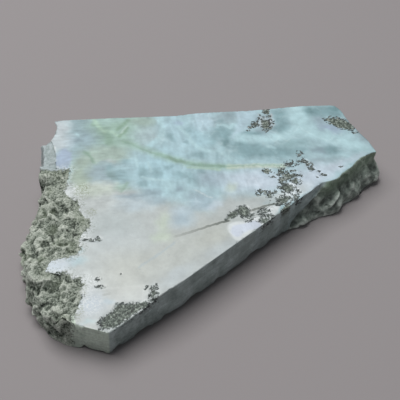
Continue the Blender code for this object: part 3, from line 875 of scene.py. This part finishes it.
def slab_piece(node):
    """The slab that is seen, with its colours and masks on its vertices."""
    mesh, kind = refined_slab(node)
    skin = Skin(mesh, kind)
    seen = painted_plan(skin.places[:, :2])
    minerals = mineral_field(seen)
    rind = rind_depth(seen)
    shape_natural_sides(skin)
    wear_arrises(skin)
    break_bottom_edge(skin)
    undercut_broken_side(skin)
    roughen_top(skin, minerals, rind)
    keep_in_box(skin)

    data = bpy.data.meshes.new("larimar_stone")
    for vertex, place in zip(mesh.verts, skin.places * MM):
        vertex.co = place
    mesh.to_mesh(data)
    mesh.free()
    data.shade_smooth()

    plan = painted_plan(skin.places[:, :2])
    # Crests and pits of the finished surface; the colours use them for painted highlight and painted shade
    smooth = skin.spread(skin.places, 10)
    normals = skin.normals()
    height = ((skin.places - smooth) * normals).sum(1)
    deep = ((skin.places - skin.spread(smooth, 50)) * normals).sum(1)
    natural = skin.share[NATURAL] * (plan[:, 1] > FRONT_FACE)
    past = fade(-0.5, 1.0, beyond_saw(skin.places))
    crack, shown = crack_fields(plan)
    masks = {
        "mineral": minerals,
        "crack": crack,
        "shown": shown,
        "speck": speck_field(plan, SPECKS),
        "crumb": speck_field(plan, CRUMBS),
        "rind": np.where(is_rock(skin), np.maximum(rind, ROCK_EVERYWHERE), rind),
        # relief and hollow: painted highlight on crests, painted shade in pits and hollows
        "relief": np.clip(height / 0.25, -1.0, 1.0),
        "hollow": np.clip(deep / 0.5, -1.0, 1.0),
        "polished": skin.share[TOP],
        "natural": natural * np.where(plan[:, 0] > 0.0, past, 1.0),
    }
    for name, values in masks.items():
        add_values(data, name, values)
    add_colours(data, "stone", stone_colours(skin.places))

    return placed("larimar_stone", data)


class Net:
    """Short calls that build one material's nodes."""

    def __init__(self, name):
        self.material = bpy.data.materials.new(name)
        self.material.use_nodes = True
        self.tree = self.material.node_tree
        self.shader = self.tree.nodes["Principled BSDF"]
        metres = self.add("ShaderNodeTexCoord", "Object", {})
        self.place = self.add("ShaderNodeVectorMath", 0, {0: metres, "Scale": 1.0 / MM}, operation="SCALE")
        self.across = self.add("ShaderNodeSeparateXYZ", "X", {0: self.place})
        self.height = self.add("ShaderNodeSeparateXYZ", "Z", {0: self.place})

    def add(self, kind, output, inputs, **settings):
        """One output of a new node."""
        made = self.tree.nodes.new(kind)
        for name, value in settings.items():
            setattr(made, name, value)
        for socket, value in inputs.items():
            self.feed(made.inputs[socket], value)
        return made.outputs[output]

    def feed(self, socket, value):
        """Link a node's output into a socket, or set a plain value on it."""
        if isinstance(value, bpy.types.NodeSocket):
            self.tree.links.new(value, socket)
        elif isinstance(value, tuple) and len(value) == 3 and len(socket.default_value) == 4:
            socket.default_value = rgba(value)
        else:
            socket.default_value = value

    def stretched(self, factors):
        return self.add("ShaderNodeVectorMath", 0, {0: self.place, 1: factors}, operation="MULTIPLY")

    def value(self, name, output="Fac"):
        """What the vertices hold under a name."""
        return self.add("ShaderNodeAttribute", output, {}, attribute_name=name)

    def math(self, operation, first, second=0.0):
        return self.add("ShaderNodeMath", 0, {0: first, 1: second}, operation=operation)

    def plus(self, first, second):
        return self.math("ADD", first, second)

    def times(self, first, second):
        return self.math("MULTIPLY", first, second)

    def band(self, value, low, high, least=0.0, most=1.0):
        """A smooth rise from least to most as value goes from low to high."""
        inputs = dict(enumerate((value, low, high, least, most)))
        return self.add("ShaderNodeMapRange", 0, inputs, interpolation_type="SMOOTHSTEP")

    def mix(self, share, first, second, blend="MIX"):
        inputs = {0: share, 6: first, 7: second}
        return self.add("ShaderNodeMix", 2, inputs, data_type="RGBA", blend_type=blend)

    def noise(self, size, detail=2.0, roughness=0.5, place=None):
        """Noise around 0.5 with lumps of about a size in millimetres."""
        inputs = {"Vector": place or self.place, "Scale": 1.0 / size, "Detail": detail,
                  "Roughness": roughness}
        return self.add("ShaderNodeTexNoise", "Fac", inputs)

    def ramp(self, value, stops):
        """Colours at shares of the way from 0 to 1."""
        made = self.tree.nodes.new("ShaderNodeValToRGB")
        bar = made.color_ramp.elements
        while len(bar) < len(stops):
            bar.new(0.5)
        for element, (share, colour) in zip(bar, stops):
            element.position = share
            element.color = rgba(colour)
        self.feed(made.inputs["Fac"], value)
        return made.outputs["Color"]

    def brightened(self, colour, factor):
        """A colour times a factor."""
        grey = self.add("ShaderNodeCombineColor", 0, dict.fromkeys(range(3), factor))
        return self.mix(1.0, colour, grey, "MULTIPLY")

    def bump(self, height, strength, distance):
        inputs = {"Height": height, "Strength": strength, "Distance": distance * MM}
        return self.add("ShaderNodeBump", "Normal", inputs)


def polished_colour(net):
    """The stone's colours with fine mottling, specks, crumbs and cracks, the cracks with painted highlights
    along their rims.
    """
    mottle = net.band(net.noise(0.7, 3.0, 0.65), 0.3, 0.7, 0.965, 1.03)
    colour = net.brightened(net.value("stone", "Color"), mottle)
    specks = net.band(net.noise(0.42, 2.0, 0.6), 0.50, 0.58)
    specks = net.times(specks, net.value("speck"))
    colour = net.mix(net.times(specks, 0.75), colour, OLIVE)
    faint = net.band(net.noise(0.75, 3.0, 0.75), 0.60, 0.68, 0.0, 0.28)
    faint = net.times(faint, net.band(net.noise(5.0), 0.45, 0.62))
    colour = net.mix(faint, colour, FAINT_SPOT)
    fringe = net.band(net.value("rind"), -3.0, 0.0, 0.0, 0.8)
    crumbs = net.noise(0.6, 3.0, 0.7)
    wide = net.math("MAXIMUM", net.times(fringe, 0.5), net.value("crumb"))
    pale = net.times(wide, net.band(crumbs, 0.50, 0.42))
    colour = net.mix(pale, colour, PALE_CRUMB)
    dark = net.times(fringe, net.band(crumbs, 0.55, 0.62))
    return cracked_colour(net, net.mix(dark, colour, DARK_CRUMB))


def cracked_colour(net, colour):
    """Thin dark cracks with painted highlights along their rims over a colour."""
    wander = net.band(net.noise(1.4), 0.3, 0.7, -0.12, 0.12)
    distance = net.math("ABSOLUTE", net.plus(net.value("crack"), wander))
    # Painted highlight along the crack's rims
    rim = net.times(net.band(distance, 0.25, 0.9, 0.5, 0.0), net.value("shown"))
    line = net.times(net.band(distance, 0.24, 0.55, 1.0, 0.0), net.value("shown"))
    return net.mix(line, net.mix(rim, colour, CRACK_HIGHLIGHT), CRACK_DARK)


def mineral_colour(net):
    """Black-green grains with paler crumbs between them."""
    grain = net.noise(0.62, 3.0, 0.75)
    mossy = net.band(net.value("mineral"), 0.4, 1.6)
    return net.mix(mossy, net.ramp(grain, CHIP_SHADES), net.ramp(grain, MOSS_SHADES))


def mineral_mask(net):
    grain = net.band(net.noise(1.1, 4.0, 0.7), 0.25, 0.75, -1.05, 0.95)
    field = net.times(net.value("mineral"), 0.42)
    return net.band(net.plus(field, grain), -0.12, 0.02)


def rock_colour(net):
    """The rind's salt and pepper grains in grey-green, with painted shade where they lie deep, painted
    highlight on crests and painted light towards the floor.
    """
    # Painted highlight on crests and painted shade in pits and hollows
    light = net.plus(net.times(net.value("relief"), 0.09), net.noise(0.46, 3.0, 0.75))
    light = net.plus(light, net.times(net.value("hollow"), 0.12))
    light = net.plus(light, net.band(net.noise(3.6, 3.0, 0.55), 0.25, 0.75, -0.07, 0.07))
    moss = net.band(net.noise(6.0), 0.5, 0.7, 0.0, 0.25)
    grey = net.mix(moss, net.ramp(light, RIND_SHADES), RIND_MOSS)
    # Painted light: the rind is lightened towards the floor
    return net.brightened(grey, net.band(net.height, 0.0, 6.0, 1.12, 1.0))


def sawn_colour(net, colour):
    """The stone's colour on a sawn side: duller and darker, the darkness being painted shade that deepens
    towards the floor, with faint lines from the saw.
    """
    # Painted shade: the sawn greys lie darker than the polished stone
    dull_and_shaded = net.mix(0.15, net.ramp(net.noise(4.5, 4.0, 0.6), SAWN_SHADES), colour)
    dull_and_shaded = net.mix(net.band(net.across, -31.0, -30.4, 0.7, 0.0), dull_and_shaded, FRONT_GREEN)
    height = net.math("DIVIDE", net.height, cad_box[1][2] / MM)
    # Painted shade: the sawn sides darken towards the floor
    dull_and_shaded = net.brightened(dull_and_shaded, net.band(height, 0.0, 0.6, 0.70, 1.0))
    grain = net.noise(0.6, 3.0, 0.7)
    dull_and_shaded = net.brightened(dull_and_shaded, net.band(grain, 0.3, 0.7, 0.86, 1.10))
    lines = net.noise(0.9, 3.0, 0.6, net.stretched((0.2, 0.2, 1.2)))
    return net.brightened(dull_and_shaded, net.band(lines, 0.3, 0.7, 0.89, 1.08))


def broken_colour(net):
    """The broken side: mottled grey-green, green under its rim, with painted shade in its hollows and
    painted highlight on its crests.
    """
    # Painted highlight on crests and painted shade in pits and hollows
    light = net.plus(net.noise(2.8, 5.0, 0.7), net.times(net.value("relief"), 0.14))
    light = net.plus(light, net.times(net.value("hollow"), 0.10))
    high = net.band(net.height, 5.0, 9.5, 0.0, 0.6)
    rim = net.times(high, net.band(net.across, 28.0, 32.0))
    return net.mix(rim, net.ramp(light, BROKEN_SHADES), RIM_GREEN)


def ledge_colour(net):
    """The pale ledge at the upper left, with painted highlight on its crests, painted shade in its pits and
    painted shade towards the floor.
    """
    # Painted highlight on crests and painted shade in pits
    cloud = net.plus(net.noise(1.2, 4.0, 0.7), net.times(net.value("relief"), 0.15))
    pale = net.ramp(cloud, LEDGE_SHADES)
    # Painted shade: the ledge darkens towards the floor
    return net.brightened(pale, net.band(net.height, 0.0, 6.0, 0.7, 1.0))


def grey(level):
    return (level, level, level, 1.0)


def stone_material():
    """One stone: polished face, sawn sides, broken side, ledge and rind."""
    net = Net("larimar")
    minerals = mineral_mask(net)
    grain = net.band(net.noise(0.8, 3.0, 0.7), 0.25, 0.75, -0.8, 0.8)
    rind = net.band(net.plus(net.value("rind"), grain), -0.1, 0.2)
    top = net.band(net.value("polished"), 0.2, 0.6)

    colour = net.mix(minerals, polished_colour(net), mineral_colour(net))
    natural = net.mix(net.band(net.across, -2.0, 2.0), ledge_colour(net), broken_colour(net))
    sides = net.mix(net.value("natural"), sawn_colour(net, colour), natural)
    over_edge = net.times(minerals, net.band(net.height, 7.6, 9.6))
    sides = net.mix(over_edge, sides, mineral_colour(net))
    colour = net.mix(rind, net.mix(top, sides, colour), rock_colour(net))
    net.feed(net.shader.inputs["Base Color"], colour)

    rough = net.mix(top, grey(SIDE_ROUGHNESS), grey(POLISH_ROUGHNESS))
    rough = net.mix(minerals, rough, grey(MINERAL_ROUGHNESS))
    rough = net.mix(rind, rough, grey(RIND_ROUGHNESS))
    net.feed(net.shader.inputs["Roughness"], rough)
    net.shader.inputs["IOR"].default_value = STONE_IOR

    gritty = net.math("MAXIMUM", rind, net.times(minerals, 0.5))
    coarse = net.times(net.noise(0.5, 4.0, 0.75), gritty)
    net.feed(net.shader.inputs["Normal"], net.bump(coarse, 0.9, 0.3))
    return net.material


def floor_material():
    net = Net("floor")
    net.feed(net.shader.inputs["Base Color"], FLOOR_COLOUR)
    net.shader.inputs["Roughness"].default_value = FLOOR_ROUGHNESS
    return net.material


def placed(name, data):
    """A new object in the scene."""
    made = bpy.data.objects.new(name, data)
    scene.collection.objects.link(made)
    return made


def add_floor():
    """A plain pale floor under the slab."""
    mesh = bmesh.new()
    bmesh.ops.create_grid(mesh, x_segments=1, y_segments=1, size=0.5 * FLOOR_SIZE * MM)
    data = bpy.data.meshes.new("floor")
    mesh.to_mesh(data)
    mesh.free()
    data.materials.append(floor_material())
    placed("floor", data)


def add_camera():
    """The photograph's view, rolled slightly to the right."""
    place = Vector(CAMERA_AT) * MM
    back = (place - Vector(LOOKS_AT) * MM).normalized()
    level = Vector((0.0, 0.0, 1.0)).cross(back).normalized()
    roll = Matrix.Rotation(math.radians(CAMERA_ROLL), 3, back)
    right = roll @ level
    up = roll @ back.cross(level)
    camera = placed("camera", bpy.data.cameras.new("camera"))
    camera.data.lens = CAMERA_LENS
    camera.data.sensor_width = SENSOR
    camera.data.clip_start = 0.01
    camera.matrix_world = Matrix.Translation(place) @ Matrix((right, up, back)).transposed().to_4x4()
    scene.camera = camera


def add_light():
    """A wide soft light from behind and above, and an even sky."""
    elevation = math.radians(KEY_ELEVATION)
    azimuth = math.radians(KEY_AZIMUTH)
    towards = Vector((-math.sin(azimuth) * math.cos(elevation),
                      math.cos(azimuth) * math.cos(elevation), math.sin(elevation)))
    lamp = placed("key", bpy.data.lights.new("key", "AREA"))
    lamp.data.shape = "SQUARE"
    lamp.data.size = KEY_SIZE * MM
    lamp.data.energy = KEY_POWER
    lamp.data.color = KEY_COLOUR
    lamp.location = towards * KEY_DISTANCE * MM
    lamp.rotation_mode = "QUATERNION"
    lamp.rotation_quaternion = towards.to_track_quat("Z", "Y")

    world = bpy.data.worlds.new("sky")
    world.use_nodes = True
    sky = world.node_tree.nodes["Background"]
    sky.inputs["Color"].default_value = SKY_COLOUR
    sky.inputs["Strength"].default_value = SKY_STRENGTH
    scene.world = world
    scene.view_settings.view_transform = "Standard"


def main():
    noise.seed_set(SEED)
    stone = slab_piece(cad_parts[NODE])
    stone.data.materials.append(stone_material())
    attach(stone, "root")
    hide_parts(NODE)
    add_floor()
    add_camera()
    add_light()


main()
